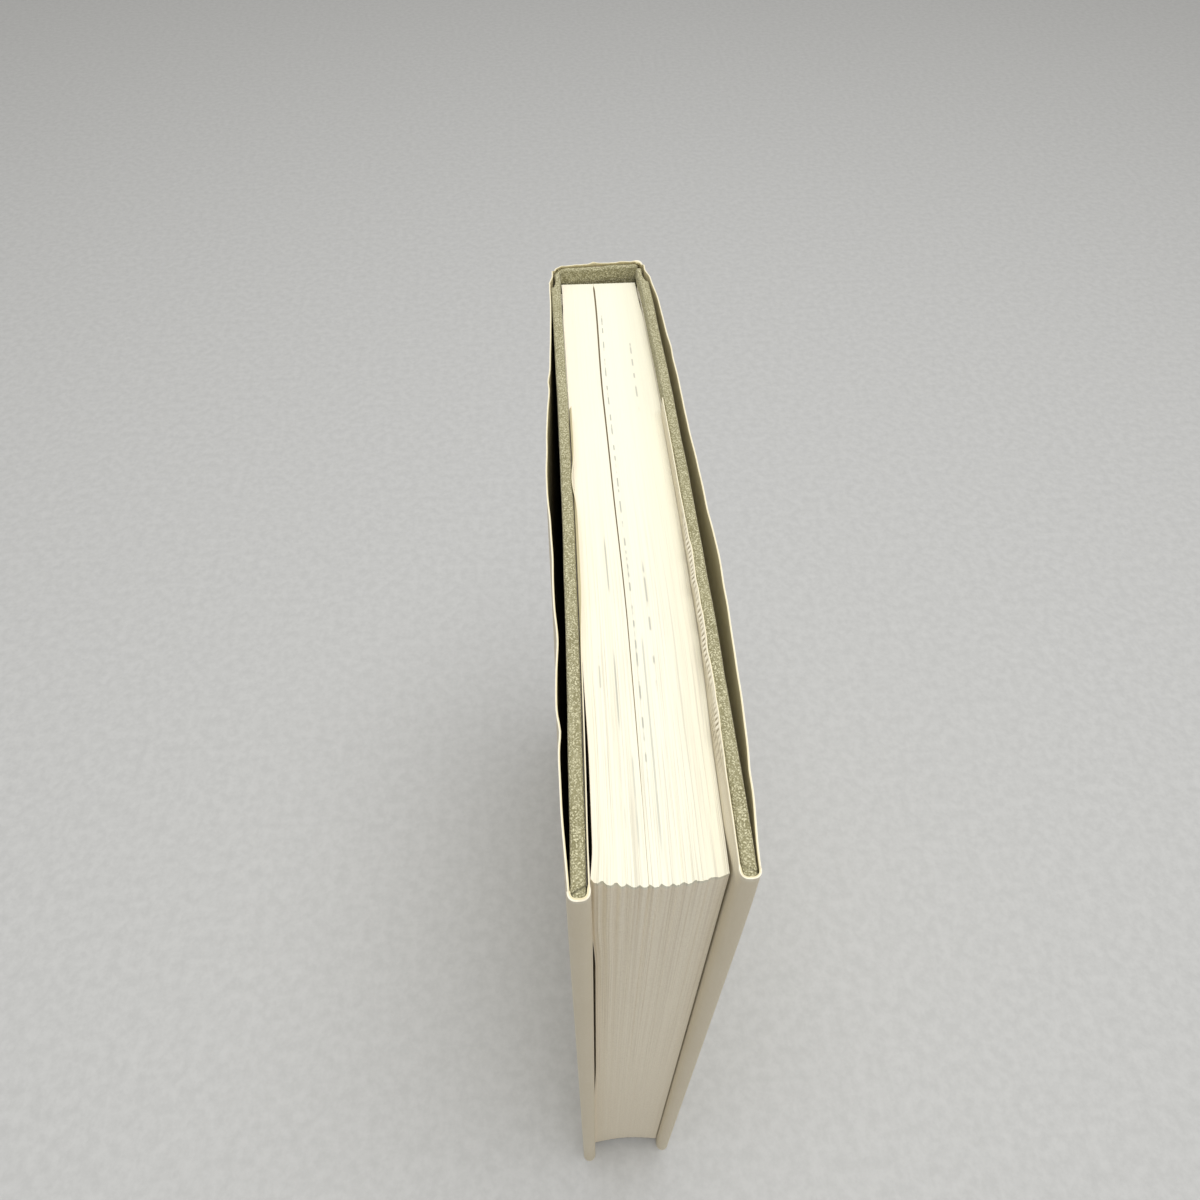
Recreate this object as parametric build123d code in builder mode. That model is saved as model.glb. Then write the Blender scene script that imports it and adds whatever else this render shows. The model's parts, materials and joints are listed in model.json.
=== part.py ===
from build123d import *
import os

# Cloth-bound hardcover book in a plain paper dust jacket, standing on its tail.
# X runs across the thickness (front cover at -X), Y from the fore-edge to the spine, Z up. Millimetres.

# Page block: sewn gatherings, trimmed, with a fore-edge that has crept out of true
page_width = 145.0
page_height = 203.0
block_thickness = 17.4
gatherings = 11
gathering_crown = 0.5
head_swell = 1.2
tail_hollow = 0.8
lining_thickness = 0.3
lining_margin = 12.0

# Case: two boards and a spine inlay in one cloth, turned in at the edges
square = 3.4
board_thickness = 1.6
cloth_thickness = 0.25
turn_in = 15.0
cover_round = 0.75
edge_round = 0.5
inlay_thickness = 0.8
inlay_overhang = 0.6
ear_round = 0.6
spine_hollow = 1.05
joint_width = 3.5
hinge_setback = 2.0

# Endpapers pasted down inside the boards
endpaper_thickness = 0.15
endpaper_margin = 3.0

# The book has settled: its front cover leads the back one, both stand open at the fore-edge, and it has
# bowed a little towards its back cover
lean = 1.6
book_bow = 0.8
gap_hinge = 0.3
gap_middle = 0.95
gap_fore = 1.45

# Dust jacket: one sheet round the case, bowed off the boards, with flaps folded inside them
jacket_thickness = 0.22
jacket_rise = 0.6
jacket_ease = 0.25
jacket_bow = 2.1
jacket_corner = 2.2
ear_room = 1.1
fold_ease = 0.4
flap_width = 98.0
flap_ease = 0.2

# Cut between a cover's sheets and the spine's, at the hinge line
hinge_gap = 0.15

# Worked-out sizes
FRONT, BACK = -1, 1
half_block = block_thickness / 2
cover_thickness = endpaper_thickness + 2 * cloth_thickness + board_thickness
cover_length = page_width + square - hinge_setback
case_height = page_height + 2 * square
jacket_height = case_height + jacket_rise
half_case = half_block + gap_hinge + cover_thickness

# Spine layers, out from the back of the page block
inlay_face = spine_hollow + cloth_thickness
inlay_back = inlay_face + inlay_thickness
cloth_back = inlay_back + cloth_thickness
jacket_back = cloth_back + jacket_ease

# Half widths of the spine: its inlay, the cloth round it and the jacket round that
half_inlay = half_block + inlay_overhang
half_spine = half_inlay + cloth_thickness
jacket_half = half_spine + ear_room

# The back of the page block, placed so that the whole book is centred on Y
front_reach = hinge_setback + lean / 2 + cover_length + fold_ease + jacket_thickness
back_reach = jacket_back + jacket_thickness + lean * (jacket_half - jacket_corner) / (2 * half_case)
block_back = (front_reach - back_reach) / 2


def between(start, middle, end, share):
    """Value at a share of a length, on the even curve through its start, middle and end values."""
    at_start = start * (1 - share) * (1 - 2 * share)
    at_middle = 4 * middle * share * (1 - share)
    at_end = end * share * (2 * share - 1)
    return at_start + at_middle + at_end


def gap_at(u):
    """Gap between the pages and a cover, at u from its hinge."""
    return between(gap_hinge, gap_middle, gap_fore, u / cover_length)


def bow_at(u):
    """How far the bowed book stands towards its back cover, at u from a hinge."""
    return between(0, book_bow, 0, u / cover_length)


def hinge_y(side):
    """Y of a cover's hinge line."""
    return block_back - hinge_setback + side * lean / 2


def cover_point(side, u, v):
    """Plan point u from a cover's hinge towards the fore-edge and v out from the side of the pages."""
    return (side * (half_block + v) + bow_at(u), hinge_y(side) - u)


def spine_point(x, out):
    """Plan point of the leaning spine, out from the back of the pages."""
    return (x, block_back + out + lean * x / (2 * half_case))


def cover_layer(side, near, far, inner, outer):
    """Outline of one layer of a cover, from u = near to u = far, following the cover's gap and bow."""
    span = (near, (near + far) / 2, far)
    inside = [cover_point(side, u, gap_at(u) + inner) for u in span]
    outside = [cover_point(side, u, gap_at(u) + outer) for u in span]
    ThreePointArc(*inside)
    ThreePointArc(*outside)
    Line(inside[0], outside[0])
    Line(inside[-1], outside[-1])


def spine_wrap(half_width, out, corner):
    """One face of a sheet from hinge line to hinge line round the spine. Returns its two ends."""
    front_end = (-half_width, hinge_y(FRONT))
    back_end = (half_width, hinge_y(BACK))
    back_corners = (spine_point(-half_width, out), spine_point(half_width, out))
    FilletPolyline(front_end, *back_corners, back_end, radius=corner)
    return front_end, back_end


def save(piece, name):
    """Label a finished piece and write it out."""
    piece.part.label = name
    export_step(piece.part, f"parts/{name}.step")


def block_outline(bulge):
    """Outline of the bowed page block: its fore-edge is a row of rounded gatherings on a curve that bulges
    or hollows."""
    fore = block_back - page_width
    pitch = block_thickness / gatherings

    def on_curve(x):
        return fore - bulge * (1 - (x / half_block) ** 2)

    for number in range(gatherings):
        left = -half_block + number * pitch
        middle = left + pitch / 2
        right = left + pitch
        ThreePointArc(
            (left, on_curve(left)),
            (middle, on_curve(middle) - gathering_crown),
            (right, on_curve(right)),
        )
    for side in (FRONT, BACK):
        edge = side * half_block
        ThreePointArc((edge, fore), (edge + book_bow, fore + page_width / 2), (edge, block_back))
    Line((-half_block, block_back), (half_block, block_back))


def make_text_block():
    with BuildPart() as text_block:
        for height, bulge in ((square, -tail_hollow), (square + page_height, head_swell)):
            with BuildSketch(Plane.XY.offset(height)):
                with BuildLine():
                    block_outline(bulge)
                make_face()
        loft(ruled=True)
    return text_block


def make_spine_lining():
    lining_height = page_height - 2 * lining_margin
    with BuildPart() as spine_lining:
        with BuildSketch(Plane.XY.offset(square + lining_margin)):
            with Locations((0, block_back + lining_thickness / 2)):
                Rectangle(block_thickness, lining_thickness)
        extrude(amount=lining_height)
    return spine_lining


def spine_panel(face):
    """Outline of the flat spine, from a face that looks at the pages out to the inlay's rounded back."""
    face_ends = (spine_point(-half_inlay, face), spine_point(half_inlay, face))
    back_corners = (spine_point(-half_inlay, inlay_back), spine_point(half_inlay, inlay_back))
    FilletPolyline(face_ends[0], *back_corners, face_ends[1], radius=ear_round)
    Line(*face_ends)


def make_spine_inlay():
    with BuildPart() as spine_inlay:
        with BuildSketch(Plane.XY.offset(cloth_thickness)):
            with BuildLine():
                spine_panel(inlay_face)
            make_face()
        extrude(amount=case_height - 2 * cloth_thickness)
    return spine_inlay


def make_spine_cloth(spine_inlay):
    with BuildPart() as spine_cloth:
        with BuildSketch():
            with BuildLine():
                inner_ends = spine_wrap(half_inlay, inlay_back, ear_round)
                outer_ends = spine_wrap(half_spine, cloth_back, ear_round + cloth_thickness)
                for inner_end, outer_end in zip(inner_ends, outer_ends):
                    Line(inner_end, outer_end)
            make_face()
        extrude(amount=case_height)
        # Cloth turned over the head and tail of the inlay and down its inner face
        with BuildSketch():
            with BuildLine():
                spine_panel(spine_hollow)
            make_face()
        extrude(amount=case_height)
        add(spine_inlay.part, mode=Mode.SUBTRACT)
        with BuildSketch(Plane.XY.offset(turn_in)):
            with BuildLine():
                spine_panel(spine_hollow)
            make_face()
        extrude(amount=case_height - 2 * turn_in, mode=Mode.SUBTRACT)
    return spine_cloth


def make_jacket_spine():
    with BuildPart() as jacket_spine:
        with BuildSketch():
            with BuildLine():
                inner_ends = spine_wrap(jacket_half, jacket_back, jacket_corner)
                outer_ends = spine_wrap(
                    jacket_half + jacket_thickness,
                    jacket_back + jacket_thickness,
                    jacket_corner + jacket_thickness,
                )
                for inner_end, outer_end in zip(inner_ends, outer_ends):
                    Line(inner_end, outer_end)
            make_face()
        extrude(amount=jacket_height)
    return jacket_spine


def make_board(side):
    inner = endpaper_thickness + cloth_thickness
    with BuildPart() as board:
        with BuildSketch(Plane.XY.offset(cloth_thickness)) as outline:
            with BuildLine():
                cover_layer(side, joint_width, cover_length - cloth_thickness, inner, inner + board_thickness)
            make_face()
            fillet(outline.vertices().sort_by(Axis.Y)[:2], cover_round - cloth_thickness)
        extrude(amount=case_height - 2 * cloth_thickness)
        rims = board.edges().group_by(Axis.Z)[0] + board.edges().group_by(Axis.Z)[-1]
        fillet(rims, edge_round - cloth_thickness)
    return board


def make_cover_cloth(side, board):
    with BuildPart() as cloth:
        with BuildSketch() as outline:
            with BuildLine():
                cover_layer(side, joint_width, cover_length, endpaper_thickness, cover_thickness)
            make_face()
            fillet(outline.vertices().sort_by(Axis.Y)[:2], cover_round)
        extrude(amount=case_height)
        rims = cloth.edges().group_by(Axis.Z)[0] + cloth.edges().group_by(Axis.Z)[-1]
        fillet(rims.sort_by(Axis.Y)[:-2], edge_round)
        add(board.part, mode=Mode.SUBTRACT)
        # Window inside the turn-ins, cut through to the space that the board fills
        with BuildSketch(Plane.XY.offset(turn_in)):
            with BuildLine():
                cover_layer(side, joint_width, cover_length - turn_in, 0, cover_thickness / 2)
            make_face()
        extrude(amount=case_height - 2 * turn_in, mode=Mode.SUBTRACT)
        # Loose cloth from the board down into the joint, where the spine's cloth takes over
        face = gap_at(joint_width) + cover_thickness
        groove = half_spine - half_block
        with BuildSketch():
            with BuildLine():
                Polyline(
                    cover_point(side, joint_width, face),
                    cover_point(side, hinge_gap, groove),
                    cover_point(side, hinge_gap, groove - cloth_thickness),
                    cover_point(side, joint_width, face - cloth_thickness),
                    close=True,
                )
            make_face()
        extrude(amount=case_height)
    return cloth


def make_pastedown(side):
    with BuildPart() as pastedown:
        with BuildSketch(Plane.XY.offset(endpaper_margin)):
            with BuildLine():
                cover_layer(side, joint_width, cover_length - endpaper_margin, 0, endpaper_thickness)
            make_face()
        extrude(amount=case_height - 2 * endpaper_margin)
        # The paper sinks onto the bare board inside the turn-ins
        with BuildSketch(Plane.XY.offset(turn_in)):
            with BuildLine():
                sunk = endpaper_thickness + cloth_thickness
                cover_layer(side, joint_width, cover_length - turn_in, endpaper_thickness / 2, sunk)
            make_face()
        extrude(amount=case_height - 2 * turn_in)
    return pastedown


def jacket_face(side, stand_off):
    """One face of a jacket panel, from the hinge: out over the board's shoulder, bowed across the board,
    round its fore-edge and in along the flap. Returns its two ends."""
    fold_radius = cover_thickness / 2 + fold_ease
    fold_u = cover_length + fold_ease - fold_radius
    fold_v = gap_at(fold_u) + cover_thickness / 2
    reach = fold_radius + stand_off
    middle = cover_length / 2
    flap_end = fold_u - flap_width
    flap_middle = fold_u - flap_width / 2
    start = cover_point(side, hinge_gap, jacket_half - half_block + stand_off)
    shoulder_v = gap_at(joint_width) + cover_thickness + jacket_ease
    shoulder = cover_point(side, joint_width, shoulder_v + stand_off)
    # The jacket hangs between its ends, so its crest doesn't follow the bow of the book
    crest_v = gap_at(middle) + cover_thickness + jacket_bow - side * bow_at(middle)
    crest = cover_point(side, middle, crest_v + stand_off)
    fold_start = cover_point(side, fold_u, fold_v + reach)
    fold_tip = cover_point(side, fold_u + reach, fold_v)
    fold_end = cover_point(side, fold_u, fold_v - reach)
    flap_stand = (fold_ease + flap_ease) / 2
    flap_crest = cover_point(side, flap_middle, gap_at(flap_middle) - flap_stand - stand_off)
    end = cover_point(side, flap_end, gap_at(flap_end) - flap_ease - stand_off)
    Line(start, shoulder)
    ThreePointArc(shoulder, crest, fold_start)
    ThreePointArc(fold_start, fold_tip, fold_end)
    ThreePointArc(fold_end, flap_crest, end)
    return start, end


def make_jacket_panel(side):
    with BuildPart() as jacket_panel:
        with BuildSketch():
            with BuildLine():
                inner_ends = jacket_face(side, 0)
                outer_ends = jacket_face(side, jacket_thickness)
                for inner_end, outer_end in zip(inner_ends, outer_ends):
                    Line(inner_end, outer_end)
            make_face()
        extrude(amount=jacket_height)
    return jacket_panel


os.makedirs("parts", exist_ok=True)

save(make_text_block(), "text_block")
save(make_spine_lining(), "spine_lining")
inlay = make_spine_inlay()
save(inlay, "spine_inlay")
save(make_spine_cloth(inlay), "spine_cloth")
save(make_jacket_spine(), "jacket_spine")

for cover_side, cover_name in ((FRONT, "front"), (BACK, "back")):
    cover_board = make_board(cover_side)
    save(cover_board, f"{cover_name}_board")
    save(make_cover_cloth(cover_side, cover_board), f"{cover_name}_cloth")
    save(make_pastedown(cover_side), f"{cover_name}_pastedown")
    save(make_jacket_panel(cover_side), f"jacket_{cover_name}")
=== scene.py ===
import json
import math

import bpy
import numpy as np
from mathutils import Matrix, Vector


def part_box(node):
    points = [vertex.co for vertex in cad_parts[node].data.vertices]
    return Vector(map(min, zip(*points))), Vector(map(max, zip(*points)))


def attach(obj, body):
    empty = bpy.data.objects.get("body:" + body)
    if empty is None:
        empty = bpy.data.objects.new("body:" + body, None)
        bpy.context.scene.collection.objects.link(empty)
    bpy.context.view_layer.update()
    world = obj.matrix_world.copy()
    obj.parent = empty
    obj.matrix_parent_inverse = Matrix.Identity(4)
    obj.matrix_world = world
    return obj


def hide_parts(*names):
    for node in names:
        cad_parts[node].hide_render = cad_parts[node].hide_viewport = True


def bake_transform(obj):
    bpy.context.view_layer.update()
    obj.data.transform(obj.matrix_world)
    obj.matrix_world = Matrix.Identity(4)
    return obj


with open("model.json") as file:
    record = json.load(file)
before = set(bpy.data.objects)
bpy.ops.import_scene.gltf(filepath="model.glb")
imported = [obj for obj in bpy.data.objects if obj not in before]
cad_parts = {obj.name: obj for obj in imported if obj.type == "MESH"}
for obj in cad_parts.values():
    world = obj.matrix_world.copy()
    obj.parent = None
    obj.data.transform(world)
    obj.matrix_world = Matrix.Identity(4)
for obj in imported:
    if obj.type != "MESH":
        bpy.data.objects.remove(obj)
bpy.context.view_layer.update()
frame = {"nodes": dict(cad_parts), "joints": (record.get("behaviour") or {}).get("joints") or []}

# Cloth-bound book in a plain paper jacket: its leaves, case, endpapers and jacket, and their finishes.
# X runs across the thickness (front cover at -X), Y from the fore-edge to the spine, Z up.
# Lengths are millimetres until a mesh is made.

MM = 0.001
FRONT, BACK = -1, 1
COVER_NAME = {FRONT: "front", BACK: "back"}


def corners(node):
    """Lowest and highest corner of a solid of the frame, in millimetres."""
    low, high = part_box(node)
    return np.array(low) / MM, np.array(high) / MM


# Sizes read from the frame
block_low, block_high = corners("text_block")
half_block = corners("spine_lining")[1][0]
book_bow = block_high[0] - half_block
block_back = block_high[1]
page_tail, page_head = block_low[2], block_high[2]
case_height = corners("front_cloth")[1][2]
jacket_height = corners("jacket_front")[1][2]
joint_place = {joint["child"]: np.array(joint["pos_m"]) / MM for joint in frame["joints"]}
hinge_y = {side: joint_place[f"{name}_cover"][1] for side, name in COVER_NAME.items()}
lean = hinge_y[BACK] - hinge_y[FRONT]
cover_length = hinge_y[FRONT] - corners("front_cloth")[0][1]

# Page block
page_width = 145.0
gatherings = 11
leaves_in_gathering = 16
gathering_crown = 0.5
gathering_uneven = 0.24
notch_tail = 0.04
head_swell = 1.2
tail_hollow = 0.8
leaf_fan_fore = 0.5
leaf_fan_corner = 0.3
leaf_creep = 1.0
slit_leaf = -1.2
slit_width = 0.34
slit_depth = 0.9
fan_rise = (2.0, 14.0)
fan_settle = (102.0, 126.0)
fan_to_board, fan_to_flap = 0.04, 0.3

# Case
cloth_thickness = 0.25
board_thickness = 1.6
endpaper_thickness = 0.15
endpaper_margin = 3.0
cover_thickness = endpaper_thickness + 2 * cloth_thickness + board_thickness
joint_width = 3.5
gap_hinge, gap_middle, gap_fore = 0.3, 0.95, 1.45
spine_hollow = 1.05
inlay_thickness = 0.8
inlay_overhang = 0.6
half_spine = half_block + inlay_overhang + cloth_thickness
spine_back = spine_hollow + 2 * cloth_thickness + inlay_thickness
half_case = half_block + gap_hinge + cover_thickness
gutter_width = 5.0
gutter_fold = 0.6
turn_in_far, turn_in_near = 3.8, 2.7
pleat_place, pleat_slant = 1.85, 0.5
pleat_height, pleat_valley = 0.14, 0.2
# Strength of the painted shade in each board's pleat crease
pleat_shade = {FRONT: 1.0, BACK: 0.4}
thread_pitch = 0.43
bead_pitch = 0.36

# Jacket
jacket_thickness = 0.22
ear_room = 1.1
jacket_ease = 0.25
jacket_half = half_spine + ear_room
jacket_out = spine_back + jacket_ease
jacket_corner = 2.2
jacket_bow = 2.1
fold_ease = 0.4
flap_width = 98.0
flap_ease = 0.2
flap_to_pages, flap_to_board = 0.04, 0.03
head_fade = 7.0

# Heights of the jacket's rows, closer together towards the head: from, to, number of rows
jacket_rows = (
    (0.0, 2.0, 5), (2.0, 190.0, 16), (190.0, 204.0, 8), (204.0, 208.6, 11), (208.6, jacket_height, 20),
)


# Plan geometry shared by the pieces

def between(start, middle, end, share):
    """Value at a share of a length, on the parabola through its start, middle and end values."""
    at_start = start * (1 - share) * (1 - 2 * share)
    at_middle = 4 * middle * share * (1 - share)
    at_end = end * share * (2 * share - 1)
    return at_start + at_middle + at_end


def gap_at(u):
    """Gap between the pages and a cover, at u from its hinge."""
    return between(gap_hinge, gap_middle, gap_fore, u / cover_length)


def bow_at(u):
    """How far the bowed book stands towards its back cover, at u from a hinge."""
    return between(0, book_bow, 0, u / cover_length)


def cover_point(side, u, v):
    """Plan points u from a cover's hinge towards the fore-edge and v out from the side of the pages."""
    return np.stack([side * (half_block + v) + bow_at(u), hinge_y[side] - u], axis=-1)


def spine_point(x, out):
    """Plan points of the leaning spine, out from the back of the pages."""
    return np.stack([x, block_back + out + lean * x / (2 * half_case)], axis=-1)


def ease(value, start, end):
    """0 before start, 1 after end, and a smooth S between them."""
    share = np.clip((value - start) / (end - start), 0, 1)
    return share * share * (3 - 2 * share)


def hump(value, middle, spread):
    """A bell of height 1 round a middle value."""
    return np.exp(-(((value - middle) / spread) ** 2))


def sway(value, length, seed):
    """A gentle uneven wave, of height about 1: three sines whose lengths don't divide each other."""
    phase = np.random.default_rng(seed).uniform(0, 2 * np.pi, 3)
    turns = 2 * np.pi * value / length
    waves = [np.sin(turns + phase[0]), np.sin(1.71 * turns + phase[1]), np.sin(2.93 * turns + phase[2])]
    return (waves[0] + 0.6 * waves[1] + 0.35 * waves[2]) / 1.6


def stations(start, end, step, dense, reach):
    """Places from start to end, about step apart, and about dense apart within reach of both ends."""
    near_count = round(reach / dense) + 1
    near = np.linspace(start, start + reach, near_count)
    far = np.linspace(end - reach, end, near_count)
    middle_count = max(2, round((end - start - 2 * reach) / step) + 1)
    between_ends = np.linspace(start + reach, end - reach, middle_count)
    return np.concatenate([near, between_ends[1:-1], far])


# Meshes

def skin(*counts):
    """Outside of a block of lattice points: the three place numbers of each point that lies on a face,
    and the quads between neighbours, turned outwards."""
    lattice = np.indices(counts)
    last = np.array(counts).reshape(3, 1, 1, 1) - 1
    outside = ((lattice == 0) | (lattice == last)).any(axis=0)
    number = np.full(counts, -1)
    number[outside] = np.arange(outside.sum())
    quads = []
    for axis in range(3):
        layers = np.moveaxis(number, axis, 0)
        for layer, at_end in ((layers[0], False), (layers[-1], True)):
            ring = [layer[:-1, :-1], layer[1:, :-1], layer[1:, 1:], layer[:-1, 1:]]
            quad = np.stack(ring, axis=-1).reshape(-1, 4)
            quads.append(quad if at_end == (axis != 1) else quad[:, ::-1])
    return (*lattice[:, outside], np.concatenate(quads))


def turned_out(points, quads):
    """The quads of a closed skin, wound so that they face outwards: the volume they hold is positive."""
    a, b, c, d = (points[quads[:, corner]] for corner in range(4))
    volume = np.einsum("ij,ij->i", a, np.cross(b, c) + np.cross(c, d)).sum()
    return quads if volume > 0 else quads[:, ::-1]


def make_piece(name, points, quads, material, pattern, crease=38, painted_shade=None):
    """Mesh object from points in millimetres, smooth except where faces meet at more than crease degrees.
    pattern is the place of each point on the flat or straight piece, and the last argument the painted shade
    of its creases there, from 0 to 1: its material reads both."""
    mesh = bpy.data.meshes.new(name)
    mesh.from_pydata((points * MM).tolist(), [], turned_out(points, quads).tolist())
    place = mesh.attributes.new("pattern", "FLOAT_VECTOR", "POINT")
    place.data.foreach_set("vector", np.asarray(pattern, np.float32).ravel())
    if painted_shade is not None:
        darkening = mesh.attributes.new("painted_shade", "FLOAT", "POINT")
        darkening.data.foreach_set("value", np.asarray(painted_shade, np.float32))
    mesh.shade_smooth()
    mesh.set_sharp_from_angle(angle=math.radians(crease))
    mesh.materials.append(material)
    piece = bpy.data.objects.new(name, mesh)
    bpy.context.scene.collection.objects.link(piece)
    return piece


def sheet_skin(path, outward, rise, thickness):
    """A sheet of paper or cloth: a plan path carried up the heights, with a face on each side of it.
    rise holds the heights for each path point. Returns points, quads, the place on the flat sheet, and each
    point's place numbers along the path, through the sheet and up the heights."""
    step = np.linalg.norm(np.diff(path, axis=0), axis=1)
    run = np.concatenate([[0], np.cumsum(step)])
    i, j, k, quads = skin(len(path), 2, rise.shape[1])
    face = j - 0.5
    plan = path[i] + outward[i] * (face * thickness[i, k])[:, None]
    points = np.column_stack([plan, rise[i, k]])
    return points, quads, np.column_stack([run[i], face, rise[i, k]]), (i, j, k)


def outward_of(path, side):
    """Unit plan normals of a path that runs from the spine to the fore-edge, on the sheet's outer face."""
    along = np.gradient(path, axis=0)
    along /= np.linalg.norm(along, axis=1)[:, None]
    return side * np.column_stack([-along[:, 1], along[:, 0]])


# Materials

def start_material(name, **constant):
    """A material with a Principled shader, whose constant sockets are set by name."""
    material = bpy.data.materials.new(name)
    material.use_nodes = True
    shader = material.node_tree.nodes["Principled BSDF"]
    for socket, value in constant.items():
        shader.inputs[socket.replace("_", " ")].default_value = value
    return material, material.node_tree, shader


def feed(tree, socket, value):
    """Link an output to a socket, or set the socket's value."""
    if isinstance(value, bpy.types.NodeSocket):
        tree.links.new(value, socket)
    else:
        socket.default_value = value


def pattern_place(tree):
    """The piece's own flat place, in millimetres."""
    node = tree.nodes.new("ShaderNodeAttribute")
    node.attribute_name = "pattern"
    return node.outputs["Vector"]


def painted_shade_share(tree):
    """How much painted shade darkens the piece's creases, from 0 to 1."""
    node = tree.nodes.new("ShaderNodeAttribute")
    node.attribute_name = "painted_shade"
    return node.outputs["Fac"]


def object_place(tree):
    """Object coordinates turned into millimetres."""
    node = tree.nodes.new("ShaderNodeTexCoord")
    return stretched(tree, node.outputs["Object"], (1 / MM, 1 / MM, 1 / MM))


def stretched(tree, vector, factors):
    """A vector with each part multiplied by its factor."""
    node = tree.nodes.new("ShaderNodeVectorMath")
    node.operation = "MULTIPLY"
    feed(tree, node.inputs[0], vector)
    node.inputs[1].default_value = factors
    return node.outputs["Vector"]


def shifted(tree, vector, offset):
    """A vector moved by an offset."""
    node = tree.nodes.new("ShaderNodeVectorMath")
    node.operation = "ADD"
    feed(tree, node.inputs[0], vector)
    feed(tree, node.inputs[1], offset)
    return node.outputs["Vector"]


def parts_of(tree, vector):
    """The X, Y and Z parts of a vector."""
    node = tree.nodes.new("ShaderNodeSeparateXYZ")
    tree.links.new(vector, node.inputs[0])
    return node.outputs["X"], node.outputs["Y"], node.outputs["Z"]


def calc(tree, operation, first, second=0.0):
    """One step of arithmetic on two values."""
    node = tree.nodes.new("ShaderNodeMath")
    node.operation = operation
    feed(tree, node.inputs[0], first)
    feed(tree, node.inputs[1], second)
    return node.outputs["Value"]


def grain(tree, vector, scale, detail=2.0, rough=0.5):
    """Soft noise from 0 to 1, whose features are about 1 / scale across."""
    node = tree.nodes.new("ShaderNodeTexNoise")
    tree.links.new(vector, node.inputs["Vector"])
    node.inputs["Scale"].default_value = scale
    node.inputs["Detail"].default_value = detail
    node.inputs["Roughness"].default_value = rough
    return node.outputs["Fac"]


def remap(tree, value, low, high, to_low=0.0, to_high=1.0):
    """A value between low and high, moved smoothly to the range to_low to to_high."""
    node = tree.nodes.new("ShaderNodeMapRange")
    node.interpolation_type = "SMOOTHSTEP"
    feed(tree, node.inputs["Value"], value)
    node.inputs["From Min"].default_value = low
    node.inputs["From Max"].default_value = high
    node.inputs["To Min"].default_value = to_low
    node.inputs["To Max"].default_value = to_high
    return node.outputs["Result"]


def tint(tree, share, first, second):
    """Colour between first and second, by share."""
    node = tree.nodes.new("ShaderNodeMix")
    node.data_type = "RGBA"
    feed(tree, node.inputs[0], share)
    for socket, colour in ((node.inputs[6], first), (node.inputs[7], second)):
        feed(tree, socket, colour if isinstance(colour, bpy.types.NodeSocket) else (*colour, 1.0))
    return node.outputs[2]


def relief(tree, shader, height, depth):
    """Bump of a given depth in millimetres, from a height of 0 to 1."""
    node = tree.nodes.new("ShaderNodeBump")
    node.inputs["Strength"].default_value = 1.0
    node.inputs["Distance"].default_value = depth * MM
    tree.links.new(height, node.inputs["Height"])
    tree.links.new(node.outputs["Normal"], shader.inputs["Normal"])


# Marks that show on the head of the pages: leaf, near and far end along Y, strength, dashes per millimetre
head_marks = (
    (-0.2, 64.0, -60.0, 0.6, 0.32),
    (5.35, 52.0, 24.0, 0.5, 0.3),
    (2.4, -14.0, -44.0, 0.55, 0.2),
    (-3.85, -8.0, -68.0, 0.5, 0.05),
    (-6.3, -34.0, -50.0, 0.4, 0.3),
    (0.9, -30.0, -72.0, 0.4, 0.09),
    (-2.2, -44.0, -72.0, 0.35, 0.07),
)


def dashed(tree, place, at_head, colour):
    """A colour with the head marks over it, in grey. Each mark is a band along one leaf between its two
    ends, broken into dashes by noise that varies along the leaf alone."""
    leaf, along, _ = parts_of(tree, place)
    for number, (middle, near, far, strength, dashes) in enumerate(head_marks):
        off = calc(tree, "ABSOLUTE", calc(tree, "SUBTRACT", leaf, middle))
        on_leaf = remap(tree, off, 0.2, 0.06)
        started = remap(tree, along, near, near - 4.0)
        ended = remap(tree, along, far, far + 8.0)
        row = shifted(tree, stretched(tree, place, (0.0, dashes, 0.0)), (number * 7.3, 0.0, 0.0))
        dash = remap(tree, grain(tree, row, 1.0, 1.0), 0.46, 0.56)
        mark = on_leaf
        for share in (started, ended, dash, at_head, strength):
            mark = calc(tree, "MULTIPLY", mark, share)
        colour = tint(tree, mark, colour, (0.20, 0.21, 0.20))
    return colour


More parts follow.
